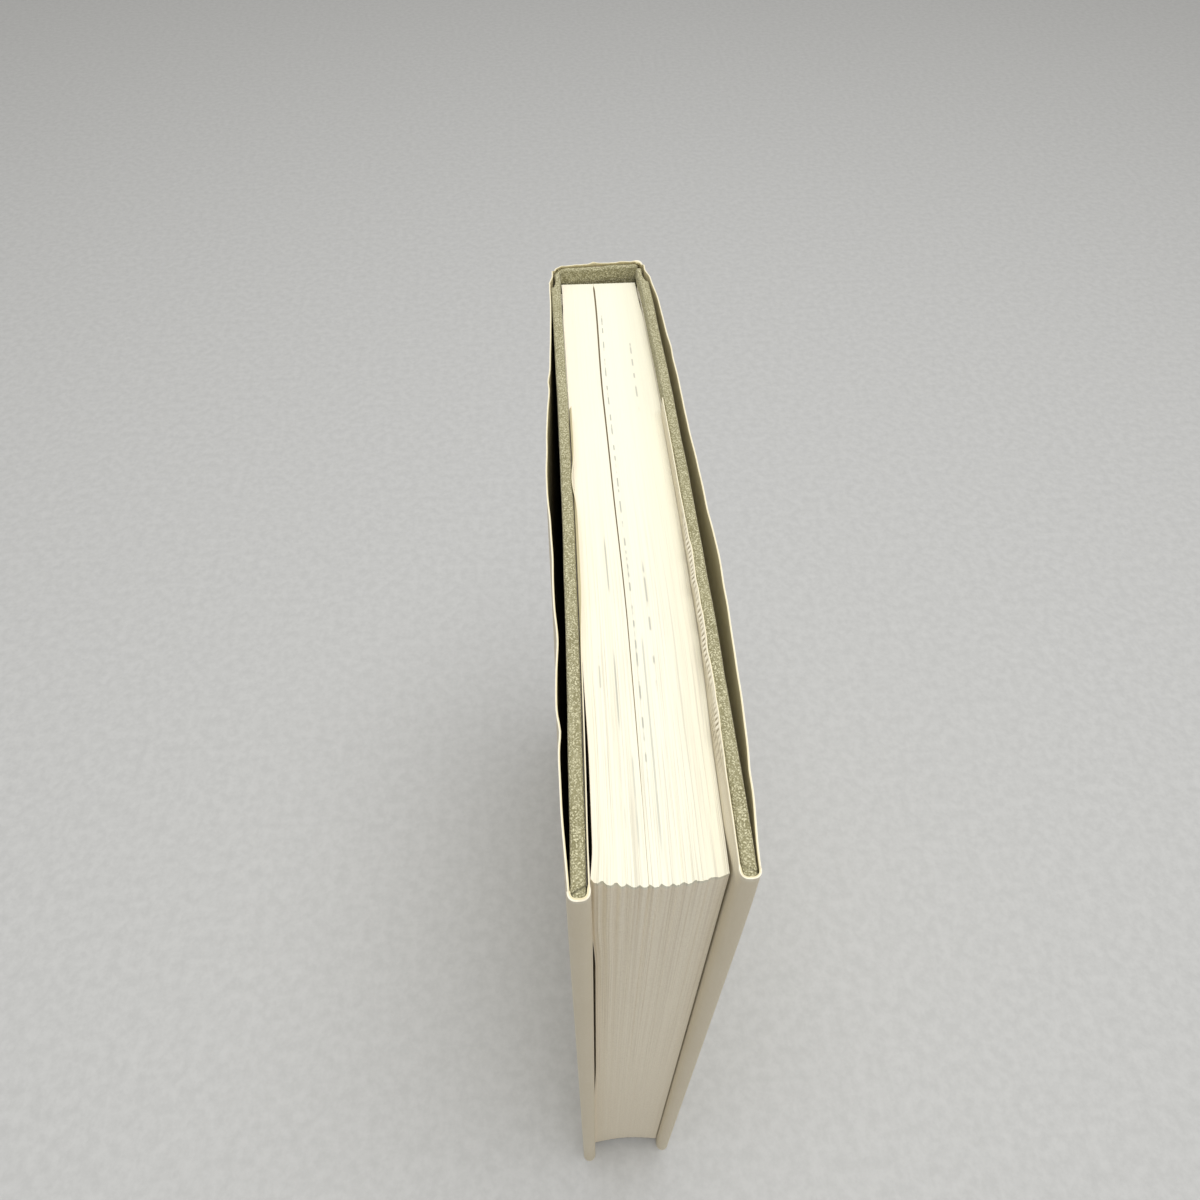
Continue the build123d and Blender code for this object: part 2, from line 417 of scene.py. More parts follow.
def page_paper():
    """Cut edges of the leaves: cream, in fine lines that follow each leaf, browner down the sides and darker
    towards the tail, with plain fly-leaves outside, painted shade on the head towards the back cover and in
    the open slit, and a few grey dashes at the head."""
    material, tree, shader = start_material("page_paper", Roughness=0.82, Specular_IOR_Level=0.25)
    place = pattern_place(tree)
    leaf, along, height = parts_of(tree, place)
    fine = grain(tree, stretched(tree, place, (6.0, 0.03, 0.012)), 1.0, 3.0, 0.7)
    bundle = grain(tree, stretched(tree, place, (1.3, 0.012, 0.008)), 1.0, 2.0)
    darkening = grain(tree, stretched(tree, place, (0.35, 0.03, 0.02)), 1.0, 4.0, 0.6)
    fibre = grain(tree, place, 2.2, 5.0, 0.7)
    at_head = remap(tree, height, page_head - 1.0, page_head - 0.6)
    off_head = calc(tree, "SUBTRACT", 1.0, at_head)

    # Lines show on the head towards the fore-edge, where leaves have crept apart, and fade down the sides
    on_head = calc(tree, "MULTIPLY", at_head, remap(tree, along, 30.0, -70.0, 0.1, 1.0))
    on_side = calc(tree, "MULTIPLY", off_head, remap(tree, height, 60.0, page_head, 0.25, 0.75))
    spread = calc(tree, "ADD", on_head, on_side)
    line = calc(tree, "MULTIPLY", remap(tree, fine, 0.45, 0.68), spread)
    # Painted shade: the head greys and warms towards the back cover
    painted_head_shade = remap(tree, leaf, 0.25 * half_block, 0.95 * half_block, 0.0, 0.75)
    head_colour = tint(tree, painted_head_shade, (0.85, 0.835, 0.69), (0.785, 0.75, 0.60))
    ground = tint(tree, at_head, (0.945, 0.925, 0.775), head_colour)
    colour = tint(tree, line, ground, (0.62, 0.585, 0.475))
    group = calc(tree, "MULTIPLY", remap(tree, bundle, 0.48, 0.72), calc(tree, "MULTIPLY", spread, 0.45))
    colour = tint(tree, group, colour, (0.78, 0.71, 0.57))

    # The sides are browner and specked, and darker towards the tail
    colour = tint(tree, off_head, colour, tint(tree, 0.35, colour, (0.87, 0.72, 0.565)))
    colour = tint(tree, remap(tree, darkening, 0.55, 0.8, 0.0, 0.25), colour, (0.80, 0.72, 0.57))
    towards_tail = remap(tree, height, 150.0, 20.0, 0.0, 0.3)
    specks = calc(tree, "ADD", remap(tree, fibre, 0.42, 0.68, 0.0, 0.22), towards_tail)
    colour = tint(tree, calc(tree, "MULTIPLY", specks, off_head), colour, (0.62, 0.54, 0.42))
    first_leaf = remap(tree, leaf, 0.7 - half_block, 0.55 - half_block, 0.0, 0.55)
    colour = tint(tree, first_leaf, colour, (0.93, 0.835, 0.70))
    fly_leaf = remap(tree, calc(tree, "ABSOLUTE", leaf), half_block - 0.05, half_block - 0.01)
    toning = grain(tree, stretched(tree, place, (0.0, 1.0, 1.0)), 0.025, 4.0, 0.6)
    plain = tint(tree, remap(tree, toning, 0.3, 0.7), (0.85, 0.805, 0.68), (0.80, 0.745, 0.615))
    colour = tint(tree, calc(tree, "MULTIPLY", fly_leaf, off_head), colour, plain)

    # Painted shade down the open slit at the head
    off_slit = calc(tree, "ABSOLUTE", calc(tree, "SUBTRACT", leaf, slit_leaf))
    in_slit = calc(tree, "MULTIPLY", remap(tree, off_slit, 0.05, 0.02), at_head)
    colour = tint(tree, in_slit, colour, (0.46, 0.39, 0.27))
    tree.links.new(dashed(tree, place, at_head, colour), shader.inputs["Base Color"])
    edges = calc(tree, "ADD", calc(tree, "MULTIPLY", fine, 0.8), calc(tree, "MULTIPLY", fibre, 0.25))
    relief(tree, shader, edges, 0.07)
    return material


def jacket_paper():
    """Plain cream jacket stock: faint clouds, fibres and scuffs, a sunned spine, pale rubs at the spine's
    folds and the rims, painted shade browning the fore-edge folds and darkening the back flap's grooves and
    a line below them, and an inner face tinted olive by painted shade and a painted reflection of the cloth."""
    material, tree, shader = start_material("jacket_paper", Specular_IOR_Level=0.32)
    place = pattern_place(tree)
    run, face, height = parts_of(tree, place)
    sheet = stretched(tree, place, (1.0, 0.0, 1.0))
    cloud = grain(tree, sheet, 0.03, 5.0, 0.6)
    mottle = grain(tree, sheet, 0.9, 4.0, 0.65)
    tooth = grain(tree, sheet, 5.0, 3.0, 0.6)
    fibre = grain(tree, stretched(tree, sheet, (1.6, 1.0, 0.3)), 1.0, 4.0, 0.7)
    scuff = grain(tree, stretched(tree, sheet, (0.9, 1.0, 0.06)), 1.0, 3.0, 0.6)

    colour = tint(tree, remap(tree, cloud, 0.3, 0.7), (0.80, 0.742, 0.59), (0.745, 0.68, 0.525))
    colour = tint(tree, remap(tree, fibre, 0.5, 0.75, 0.0, 0.3), colour, (0.69, 0.625, 0.485))
    colour = tint(tree, remap(tree, scuff, 0.62, 0.76, 0.0, 0.3), colour, (0.62, 0.56, 0.435))
    from_middle = calc(tree, "ABSOLUTE", run)
    sunned = remap(tree, from_middle, jacket_half + 3.0, jacket_half - 1.0, 0.0, 0.4)
    colour = tint(tree, sunned, colour, (0.70, 0.60, 0.42))
    broken = remap(tree, mottle, 0.35, 0.6, 0.25, 1.0)
    for side in (FRONT, BACK):
        spine_fold, fore_fold = jacket_folds(side)
        off_spine = calc(tree, "ABSOLUTE", calc(tree, "SUBTRACT", run, side * spine_fold))
        rubbed = calc(tree, "MULTIPLY", broken, remap(tree, off_spine, 2.2, 0.0, 0.0, 0.8))
        colour = tint(tree, rubbed, colour, (0.88, 0.84, 0.72))
        # Painted shade browns each fore-edge fold
        off_fore = calc(tree, "ABSOLUTE", calc(tree, "SUBTRACT", run, side * fore_fold))
        colour = tint(tree, remap(tree, off_fore, 6.0, 0.0, 0.0, 0.5), colour, (0.60, 0.515, 0.375))
    on_rim = calc(tree, "ADD", remap(tree, height, jacket_height - 1.6, jacket_height - 0.1),
                  remap(tree, height, 1.6, 0.1))
    flap_start = jacket_folds(FRONT)[1]
    off_flap = remap(tree, run, -flap_start - 12.0, -flap_start - 4.0, 0.15, 1.0)
    on_rim = calc(tree, "MULTIPLY", calc(tree, "MULTIPLY", on_rim, off_flap), broken)
    colour = tint(tree, on_rim, colour, (0.85, 0.80, 0.65))
    # Painted shade in the back flap's grooves and in the line below them
    colour = tint(tree, calc(tree, "MULTIPLY", painted_shade_share(tree), 0.95), colour, (0.25, 0.20, 0.115))
    # Painted shade and a painted reflection of the sage cloth tint the inner face olive
    inside = remap(tree, face, 0.1, -0.1, 0.0, 0.8)
    colour = tint(tree, inside, colour, (0.72, 0.64, 0.38))
    tree.links.new(colour, shader.inputs["Base Color"])
    tree.links.new(remap(tree, mottle, 0.3, 0.7, 0.5, 0.66), shader.inputs["Roughness"])
    relief(tree, shader, calc(tree, "ADD", tooth, fibre), 0.035)
    return material


def book_cloth():
    """Sage linen: a plain weave with slubs. Each direction is a sine along the threads, and the weave's
    height is the sum of their products two by two, so that every face of a board shows its own two. Round
    beads, highest at the middle of each cell, and fuzz are added to it."""
    material, tree, shader = start_material("book_cloth", Roughness=0.88, Specular_IOR_Level=0.2,
                                            Sheen_Weight=0.12, Sheen_Roughness=0.5)
    place = pattern_place(tree)
    wander = tree.nodes.new("ShaderNodeTexNoise")
    tree.links.new(place, wander.inputs["Vector"])
    wander.inputs["Scale"].default_value = 1.3
    wander.inputs["Detail"].default_value = 4.0
    drift = stretched(tree, shifted(tree, wander.outputs["Color"], (-0.5, -0.5, -0.5)), (0.55, 0.55, 0.55))
    turns = stretched(tree, shifted(tree, place, drift), (2 * math.pi / thread_pitch,) * 3)
    waves = [calc(tree, "SINE", part) for part in parts_of(tree, turns)]
    weave = calc(tree, "MULTIPLY", waves[0], waves[1])
    for first, second in ((1, 2), (0, 2)):
        weave = calc(tree, "ADD", weave, calc(tree, "MULTIPLY", waves[first], waves[second]))
    fuzz = grain(tree, place, 4.5, 3.0, 0.7)
    beads = tree.nodes.new("ShaderNodeTexVoronoi")
    beads.inputs["Scale"].default_value = 1 / bead_pitch
    tree.links.new(shifted(tree, place, drift), beads.inputs["Vector"])
    bead = remap(tree, beads.outputs["Distance"], 0.75, 0.1, -1.2, 1.2)
    weave = calc(tree, "ADD", calc(tree, "MULTIPLY", weave, 0.5), bead)
    weave = calc(tree, "ADD", weave, remap(tree, fuzz, 0.3, 0.7, -0.7, 0.7))
    weave = remap(tree, weave, -1.5, 1.5)
    slub = grain(tree, stretched(tree, place, (0.4, 2.0, 2.0)), 1.0, 3.0, 0.6)
    cloud = grain(tree, place, 0.09, 3.0)
    colour = tint(tree, weave, (0.23, 0.21, 0.11), (0.68, 0.645, 0.43))
    colour = tint(tree, remap(tree, slub, 0.45, 0.75, 0.0, 0.35), colour, (0.58, 0.55, 0.365))
    colour = tint(tree, remap(tree, cloud, 0.4, 0.7, 0.0, 0.3), colour, (0.42, 0.395, 0.235))
    # Painted shade in the crease of each board's head pleat
    colour = tint(tree, calc(tree, "MULTIPLY", painted_shade_share(tree), 0.8), colour, (0.10, 0.09, 0.045))
    tree.links.new(colour, shader.inputs["Base Color"])
    relief(tree, shader, calc(tree, "ADD", weave, calc(tree, "MULTIPLY", slub, 0.5)), 0.09)
    return material


def endpaper():
    """Smooth cream endpaper, with long faint fibres and a little toning."""
    material, tree, shader = start_material("endpaper", Roughness=0.75, Specular_IOR_Level=0.28)
    place = pattern_place(tree)
    sheet = stretched(tree, place, (1.0, 0.0, 1.0))
    cloud = grain(tree, sheet, 0.03, 4.0, 0.6)
    fibre = grain(tree, stretched(tree, sheet, (0.6, 1.0, 2.4)), 1.6, 4.0, 0.7)
    colour = tint(tree, remap(tree, cloud, 0.35, 0.7), (0.84, 0.80, 0.69), (0.79, 0.74, 0.61))
    colour = tint(tree, remap(tree, fibre, 0.55, 0.75, 0.0, 0.4), colour, (0.74, 0.685, 0.555))
    tree.links.new(colour, shader.inputs["Base Color"])
    relief(tree, shader, fibre, 0.03)
    return material


def pressed_board(name, light, dark):
    """Pressed board or card: specks of fibre in a felted ground."""
    material, tree, shader = start_material(name, Roughness=0.9, Specular_IOR_Level=0.2)
    place = object_place(tree)
    speck = grain(tree, place, 2.4, 5.0, 0.75)
    felt = grain(tree, stretched(tree, place, (1.0, 0.4, 1.0)), 0.5, 3.0)
    colour = tint(tree, remap(tree, speck, 0.35, 0.65), light, dark)
    colour = tint(tree, remap(tree, felt, 0.45, 0.7, 0.0, 0.4), colour, dark)
    tree.links.new(colour, shader.inputs["Base Color"])
    relief(tree, shader, speck, 0.06)
    return material


def lining_gauze():
    """Open cotton gauze glued over the backs of the gatherings."""
    material, tree, shader = start_material("lining_gauze", Roughness=0.9, Specular_IOR_Level=0.2)
    turns = stretched(tree, object_place(tree), (2 * math.pi / 1.1,) * 3)
    across, _, up = parts_of(tree, turns)
    thread = calc(tree, "MAXIMUM", calc(tree, "SINE", across), calc(tree, "SINE", up))
    share = remap(tree, thread, 0.55, 0.9)
    tree.links.new(tint(tree, share, (0.42, 0.35, 0.22), (0.80, 0.76, 0.64)), shader.inputs["Base Color"])
    relief(tree, shader, share, 0.15)
    return material


# Page block

def page_side(u):
    """How far the fanned leaves stand out past the straight side of the block, at u from a hinge: nearly to
    the board as far as the flap's end, then pressed in by the flap, and even towards the fore-edge."""
    by_board = (gap_at(u) - fan_to_board) * ease(u, *fan_rise)
    pressed = gap_at(u) - fan_to_flap
    by_flap = pressed + (leaf_fan_fore - pressed) * ease(u, *fan_settle)
    flap_end = cover_length - flap_width
    return by_board + (by_flap - by_board) * ease(u, flap_end - 5, flap_end + 1)


def leaf_stations():
    """Places across the block where leaves meet, with three close together for the open slit."""
    even = np.linspace(-half_block, half_block, gatherings * leaves_in_gathering + 1)
    lips = slit_leaf + np.array([-0.02, 0.0, 0.02])
    return np.sort(np.concatenate([even[np.abs(even - slit_leaf) > 0.055], lips]))


def make_page_leaves(material):
    """The leaves as one block. Each column of points is a leaf; depth runs from the fore-edge to the back
    and rise from tail to head. The fore-edge is a parabola that goes from hollow at the tail to swollen at
    the head, notched between gatherings. The block bows on a parabola, its leaves fan and creep sideways
    towards the fore-edge, and at the head two of them stand apart by a slit that closes that way."""
    chance = np.random.default_rng(11)
    leaf = leaf_stations()
    depth = stations(0, 1, 1 / 64, 1 / 160, 0.05)
    rise = stations(0, 1, 1 / 60, 1 / 200, 0.04)
    ragged = chance.normal(0, 0.03, len(leaf))
    dip_fore = np.abs(chance.normal(0, 0.035, len(leaf)))
    dip_back = np.abs(chance.normal(0, 0.02, len(leaf)))
    widths = 1 + chance.uniform(-gathering_uneven, gathering_uneven, gatherings)
    edges = half_block * (2 * np.concatenate([[0], np.cumsum(widths)]) / widths.sum() - 1)
    notch_depth = gathering_crown * chance.uniform(0.3, 1.0, gatherings)
    notch_fade = chance.uniform(5, 12, gatherings)
    i, j, k, quads = skin(len(leaf), len(depth), len(rise))
    a, d, r = leaf[i], depth[j], rise[k]

    share = np.interp(a, edges, np.arange(gatherings + 1))
    number = np.clip(share.astype(int), 0, gatherings - 1)
    from_middle = np.abs(2 * (share - number) - 1)
    notch = notch_tail + (notch_depth[number] - notch_tail) * r ** notch_fade[number]
    bulge = -tail_hollow + (head_swell + tail_hollow) * r
    inner = 1 - (a / half_block) ** 2
    fore = block_back - page_width - gathering_crown - bulge * inner + notch * ease(from_middle, 0.2, 1.0)
    fore = fore + ragged[i] * r
    y = fore + (block_back - fore) * d

    opened = np.clip((d - 0.08) / 0.9, 0, 1) ** 0.7 * ease(-d, -0.993, -0.985) * ease(r, 0.8, 1.0)
    lip = np.sign(a - slit_leaf)
    aside = lip * slit_width / 2 * opened * np.exp(-np.abs(a - slit_leaf) / 1.8)
    creep = -leaf_creep * ease(1 - d, 0, 0.3) * (1 - 0.35 * ease(1 - d, 0.45, 0.7)) * inner * (0.4 + 0.6 * r)
    u = hinge_y[FRONT] + lean / 2 - y
    near_ends = 3 * ease(r, 0.82, 0.93) + 2 * ease(-r, -0.5, -0.3)
    corner = leaf_fan_corner * (a < 0) * ease(u, 138, 146) * (near_ends - 1)
    fan = (page_side(u) + corner) * (a / half_block) ** 3
    x = a + between(0, book_bow, 0, 1 - d) + fan + creep + aside

    dip = d * dip_back[i] + (1 - d) * dip_fore[i] + (lip == 0) * slit_depth * opened
    low = page_tail + 0.4 * dip_fore[i]
    z = low + (page_head - dip - low) * r
    pattern = np.column_stack([a, y, z])
    piece = make_piece("page_leaves", np.column_stack([x, y, z]), quads, material, pattern,
                       crease=50)
    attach(piece, "page_block")
    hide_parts("text_block")


# Case

def rounded(place, low, high, radius):
    """Points of a box's skin drawn in to rounded edges: each goes to the nearest point of the core, then
    out by the radius along the straight line between them."""
    core = np.clip(place, low + radius, high - radius)
    away = (place - core) / radius
    length = np.maximum(np.linalg.norm(away, axis=1), 1)
    return core + radius * away / length[:, None]


def make_cover_cloth(side, material):
    """A board in its cloth: a thin box with rounded edges, following the cover's gap and bow, with the small
    folded pleat that the turned-in cloth makes across its head's fore-edge corner, and painted shade in its
    crease."""
    low = np.array([joint_width - 0.15, endpaper_thickness, 0.0])
    high = np.array([cover_length, cover_thickness, case_height])
    along = stations(low[0], high[0], 2.2, 0.1, 5.0)
    across = np.linspace(low[1], high[1], 17)
    up = stations(low[2], high[2], 3.5, 0.14, 1.4)
    i, j, k, quads = skin(len(along), len(across), len(up))
    place = np.column_stack([along[i], across[j], up[k]])
    shape = rounded(place, low, high, np.array([0.8, 0.5, 0.48]))
    u, v, z = shape.T
    head, tail = ease(z, high[2] - 1.2, high[2] - 0.5), ease(-z, -1.2, -0.5)

    # Cloth past a slanting crease lies folded over the rest, and the crease itself is a small valley
    from_crease = u - (cover_length - pleat_place + pleat_slant * (v - low[1]))
    valley = pleat_valley * hump(from_crease, -0.1, 0.16)
    pleat = pleat_height * ease(from_crease, 0.0, 0.3) - valley
    soft = 0.05 * sway(u, 23.0, 5 + side) + 0.03 * sway(u, 6.1, 9 + side)
    z = z + head * (pleat + soft * ease(-u, -cover_length + 1, -cover_length + 4))
    v = v + 0.05 * sway(u, 31.0, 3 + side) * np.abs(head + tail)

    plan = cover_point(side, u, v + gap_at(u))
    # Painted shade along the pleat's crease, at the head
    crease_shade = pleat_shade[side] * head * hump(from_crease, -0.08, 0.16)
    name = COVER_NAME[side]
    pattern = np.column_stack([cover_length - place[:, 0], place[:, 1] - low[1], place[:, 2]])
    piece = make_piece(f"{name}_cover_cloth", np.column_stack([plan, z]), quads, material, pattern,
                       painted_shade=crease_shade)
    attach(piece, f"{name}_cover")
    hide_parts(f"{name}_cloth")


def make_spine_cloth(material):
    """The flat spine in its cloth: a thin box with rounded ears, sheared by the lean, its head and tail
    caps a little wavy."""
    low = np.array([-half_spine, spine_hollow, 0.0])
    high = np.array([half_spine, spine_back, case_height])
    across = stations(low[0], high[0], 0.5, 0.12, 1.2)
    out = np.linspace(low[1], high[1], 9)
    up = stations(low[2], high[2], 3.5, 0.12, 1.2)
    i, j, k, quads = skin(len(across), len(out), len(up))
    place = np.column_stack([across[i], out[j], up[k]])
    x, away, z = rounded(place, low, high, np.array([0.75, 0.55, 0.55])).T
    head, tail = ease(z, high[2] - 6, high[2]), ease(-z, -6, 0)
    away = away + 0.1 * head * sway(x, 13.0, 21) * ease(half_spine - np.abs(x), 0, 3)
    z = z - 0.2 * head * (0.5 + 0.5 * sway(x, 9.0, 22)) + 0.2 * tail * (0.5 + 0.5 * sway(x, 9.0, 23))
    points = np.column_stack([spine_point(x, away), z])
    piece = make_piece("spine_panel_cloth", points, quads, material, place - low)
    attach(piece, "page_block")
    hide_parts("spine_cloth")


# Joint's route from the board to the spine's ear: distance from the hinge and from the pages, turned-in bulk
joint_route = (
    (7.0, 1.5, 1.9), (4.9, 1.46, 1.85), (3.4, 1.25, 1.7), (1.7, 0.95, 1.35), (0.0, 0.82, 1.2),
    (-1.5, 0.9, 1.3), (-2.6, 0.95, 1.5), (-3.4, 0.65, 1.4), (-3.8, 0.0, 1.1),
)
ear_dip = {FRONT: 0.35, BACK: 1.5}


def smoothed(values, width=9):
    """Running mean of values over a width of places, with the end values carried on past both ends."""
    return np.convolve(np.pad(values, width // 2, "edge"), np.ones(width) / width, "valid")


def make_joint_cloth(side, material):
    """Loose cloth of one joint: a smooth path from the board's end to the spine's ear. Turned in, it is
    bulky and round at head and tail, and a single cloth between them; its outer face stays where it is."""
    route = np.array(joint_route)
    knots = np.linspace(0, 1, len(route))
    even = np.linspace(0, 1, 81)
    u, v, bulk = (smoothed(np.interp(even, knots, column)) for column in route.T)
    middle = cover_point(side, u, v)
    outward = outward_of(middle[::-1], side)[::-1]
    across = np.linspace(0, 1, 9)
    up = stations(0.0, case_height - 0.08, 3.5, 0.22, 4.4)
    i, j, k, quads = skin(len(even), len(across), len(up))
    turned_at_head = ease(up, case_height - turn_in_far, case_height - turn_in_near)
    turned = turned_at_head + ease(-up, -turn_in_far, -turn_in_near)
    thickness = cloth_thickness + (bulk[i] - cloth_thickness) * turned[k]
    plan = middle[i] + outward[i] * (bulk[i] / 2 - across[j] * thickness)[:, None]
    drop = 0.5 * (1 - np.sqrt(np.maximum(1 - (2 * across[j] - 1) ** 2, 0)))
    drop = drop + ear_dip[side] * hump(u[i], -2.9, 0.6)
    z = up[k] - drop * ease(up[k], case_height - 4, case_height - 0.3)
    z = z + 0.4 * drop * ease(-up[k], -4, 0)
    name = COVER_NAME[side]
    pattern = np.column_stack([u[i], across[j], up[k]])
    piece = make_piece(f"{name}_joint_cloth", np.column_stack([plan, z]), quads, material, pattern)
    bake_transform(piece)


def make_pastedown(side, material):
    """Endpaper pasted down inside the board: a flat sheet that follows the cover's gap and bow."""
    u = np.linspace(gutter_fold, cover_length - endpaper_margin, 90)
    path = cover_point(side, u, gap_at(u) + endpaper_thickness / 2)
    up = np.linspace(endpaper_margin, case_height - endpaper_margin, 60)
    rise = np.tile(up, (len(path), 1))
    thickness = np.full(rise.shape, endpaper_thickness * 0.8)
    points, quads, pattern, _ = sheet_skin(path, outward_of(path, side), rise, thickness)
    name = COVER_NAME[side]
    piece = make_piece(f"{name}_pastedown_paper", points, quads, material, pattern)
    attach(piece, f"{name}_cover")
    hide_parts(f"{name}_pastedown")


def make_gutter(side, material):
    """Fold of the endpaper between the pastedown and the first leaf: two straight runs and a half circle."""
    free_v, pasted_v = 0.06, gap_hinge - 0.03
    fold_radius = (pasted_v - free_v) / 2
    turn = np.linspace(0, np.pi, 30)[1:-1]
    pasted_u = np.linspace(gutter_width, gutter_fold, 16)
    u = np.concatenate([pasted_u, gutter_fold - fold_radius * np.sin(turn), pasted_u[::-1]])
    free = page_side(pasted_u[::-1]) + free_v
    v = np.concatenate([gap_at(pasted_u) - 0.03, free_v + fold_radius * (1 + np.cos(turn)), free])
    path = cover_point(side, u, v)
    up = np.linspace(page_tail + 0.3, page_head - 0.4, 60)
    rise = np.tile(up, (len(path), 1))
    points, quads, pattern, _ = sheet_skin(path, outward_of(path, -side), rise, np.full(rise.shape, 0.08))
    name = COVER_NAME[side]
    piece = make_piece(f"{name}_gutter_fold", points, quads, material, pattern)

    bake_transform(piece)


# Jacket

# Places where each panel's head is kinked: distance from the hinge, push outwards, spread, dip of the rim
panel_kinks = {
    FRONT: ((25.0, -0.5, 17.0, 0.0), (39.0, 0.28, 2.0, 0.2), (40.0, -0.35, 7.0, 0.0),
            (86.0, -0.55, 9.0, 0.15), (104.0, -0.3, 5.5, 0.12), (103.0, -0.5, 14.0, 0.0),
            (121.5, -0.35, 2.2, 0.2)),
    BACK: ((30.0, 0.18, 3.0, 0.1), (58.0, -0.15, 4.0, 0.05), (131.0, -0.15, 3.0, 0.12)),
}

# Stands for a mark of the jacket's path where that mark doesn't apply
far_away = 1e4

# Curled and grooved rim of the back flap, and the bulge of the front flap, by distance from the fold
curl_height, curl_reach = 1.0, 0.36
curl_grows, curl_fades = (13.0, 23.0), (56.0, 72.0)
groove_pitch, groove_depth, groove_slant = 1.05, 0.34, 0.4
front_bulge = 77.0

# Stretch of each flap that is finely divided, by distance from the fold, and its number of places
fine_start, fine_end = 10.0, 64.0
fine_count = {FRONT: 60, BACK: 480}

# Crest and corners of the jacket's head at the spine, by place across it
spine_crest, flattened_corner, turned_corner = -1.0, -9.4, 9.7


def jacket_stations(side):
    """Plan of one half of the jacket, halfway through the paper: along the spine from its middle, round
    its corner (a quarter circle), down to the hinge, out over the board's shoulder, across the board on a
    parabola, round the fore-edge (a half circle) and in along the flap. Returns the path with, for each
    point, its x on the spine, its distance from the hinge on the panel, its angle on the fold and its
    distance from the fold on the flap, each far away where it doesn't apply, and the room that the flap
    has beside it to the pages and to the board. The room to the pages is negative where they press it."""
    half = jacket_thickness / 2
    corner = jacket_corner + half
    spine_half, spine_out = jacket_half + half, jacket_out + half
    turn = np.linspace(0, np.pi / 2, 18)[1:]
    flat_x = np.linspace(0, spine_half - corner, 44)
    x = side * np.concatenate([flat_x, spine_half - corner + corner * np.sin(turn)])
    out = np.concatenate([np.full(44, spine_out), spine_out - corner + corner * np.cos(turn)])
    spine = spine_point(x, out)

    shoulder_v = gap_at(joint_width) + cover_thickness + jacket_ease + half
    leg_y = np.linspace(spine[-1, 1], hinge_y[side], 8)[1:]
    leg = np.column_stack([np.full(7, side * spine_half), leg_y])
    share = np.linspace(0, 1, 12)[1:-1]
    slope_v = spine_half - half_block + (shoulder_v - spine_half + half_block) * ease(share, -0.1, 1.1)
    slope = cover_point(side, share * joint_width, slope_v)

    reach = cover_thickness / 2 + fold_ease + half
    fold_u = cover_length + fold_ease - (reach - half)
    fold_v = gap_at(fold_u) + cover_thickness / 2
    middle = cover_length / 2
    crest_v = gap_at(middle) + cover_thickness + jacket_bow + half - side * bow_at(middle)
    panel_u = np.linspace(joint_width, fold_u, 120)
    panel_share = (panel_u - joint_width) / (fold_u - joint_width)
    panel_v = between(shoulder_v, crest_v, fold_v + reach, panel_share)
    angle = np.linspace(0, np.pi, 32)[1:]
    by_fold = np.linspace(0, fine_start, 14)[1:-1]
    fine = np.linspace(fine_start, fine_end, fine_count[side])
    flap = np.concatenate([by_fold, fine, np.linspace(fine_end, flap_width, 46)[1:]])
    flap_u = fold_u - flap
    flap_v = gap_at(flap_u) - fold_ease - (flap_ease - fold_ease) * flap / flap_width - half
    u = np.concatenate([panel_u, fold_u + reach * np.sin(angle), flap_u])
    v = np.concatenate([panel_v, fold_v + reach * np.cos(angle), flap_v])
    path = np.concatenate([spine, leg, slope, cover_point(side, u, v)])

    before_panel = len(spine) + len(leg) + len(slope)
    before_fold = before_panel + len(panel_u)
    before_flap = len(path) - len(flap)
    runs = ((0, x), (before_panel, panel_u), (before_fold, angle), (before_flap, flap))
    marks = np.full((len(runs), len(path)), far_away)
    for row, (start, values) in enumerate(runs):
        marks[row, start: start + len(values)] = values
    to_board = np.maximum(gap_at(flap_u) - flap_v - half - flap_to_board, 0)
    to_pages = np.maximum(flap_v - half - flap_to_pages - page_side(flap_u), -to_board)
    room = np.zeros((2, len(path)))
    room[:, before_flap:] = to_pages, to_board
    return path, marks, room


def jacket_folds(side):
    """The two folds of one half of the jacket, at the spine's corner and at the fore-edge: their distances
    from the spine's middle along the paper."""
    path, marks, _ = jacket_stations(side)
    run = np.concatenate([[0], np.cumsum(np.linalg.norm(np.diff(path, axis=0), axis=1))])
    spine, _, fold, _ = marks
    spine_fold = run[np.argmin(np.abs(np.abs(spine) - jacket_half + 0.6))]
    fore_fold = run[np.argmin(np.abs(fold - np.pi / 2))]
    return float(spine_fold), float(fore_fold)


def rim_share(below):
    """1 at the jacket's head, easing to 0 a little below it."""
    return ease(-below, -2.5, 0)


def panel_wear(side, panel, up):
    """Push and dip of a panel. It breathes with height on an uneven wave that is widest at its middle, the
    back panel flares at its head on a bell and the front one draws in, and bells kink its head."""
    is_panel = panel < far_away
    below = jacket_height - up
    swell = np.sin(np.pi * np.clip(panel / cover_length, 0, 1)) * is_panel
    breath = 0.22 * (sway(up, 150.0, 31 + side) - 1) * ease(below, 4, 60) - 0.25 * ease(below, 20, 190)
    rippled = 0.1 * (sway(panel, 26.0, 41 + side) - 1) * np.exp(-below / head_fade)
    push = swell * (breath - 0.06 + rippled)
    flared = ease(panel, joint_width, 12) * ease(-panel, -cover_length + 2, -cover_length + 22) * is_panel
    if side == BACK:
        push = push + flared * (0.45 + 0.6 * hump(panel, 95, 21)) * np.exp(-below / 55)
    else:
        push = push - flared * 0.3 * np.exp(-below / 40)
    dip = is_panel * 0.07 * (1 + sway(panel, 17.0, 51 + side)) * rim_share(below)
    for place, out, spread, notch in panel_kinks[side]:
        push = push + is_panel * out * hump(panel, place, spread) * np.exp(-below / (2 + 3 * spread))
        dip = dip + is_panel * notch * hump(panel, place, spread * 0.45) * rim_share(below)
    return push, dip


def off_fold(flap):
    """How far a place of the flap is clear of the fold: 0 at the fold, 1 from 9 mm on."""
    return ease(flap, 0, 9) * (flap < far_away)


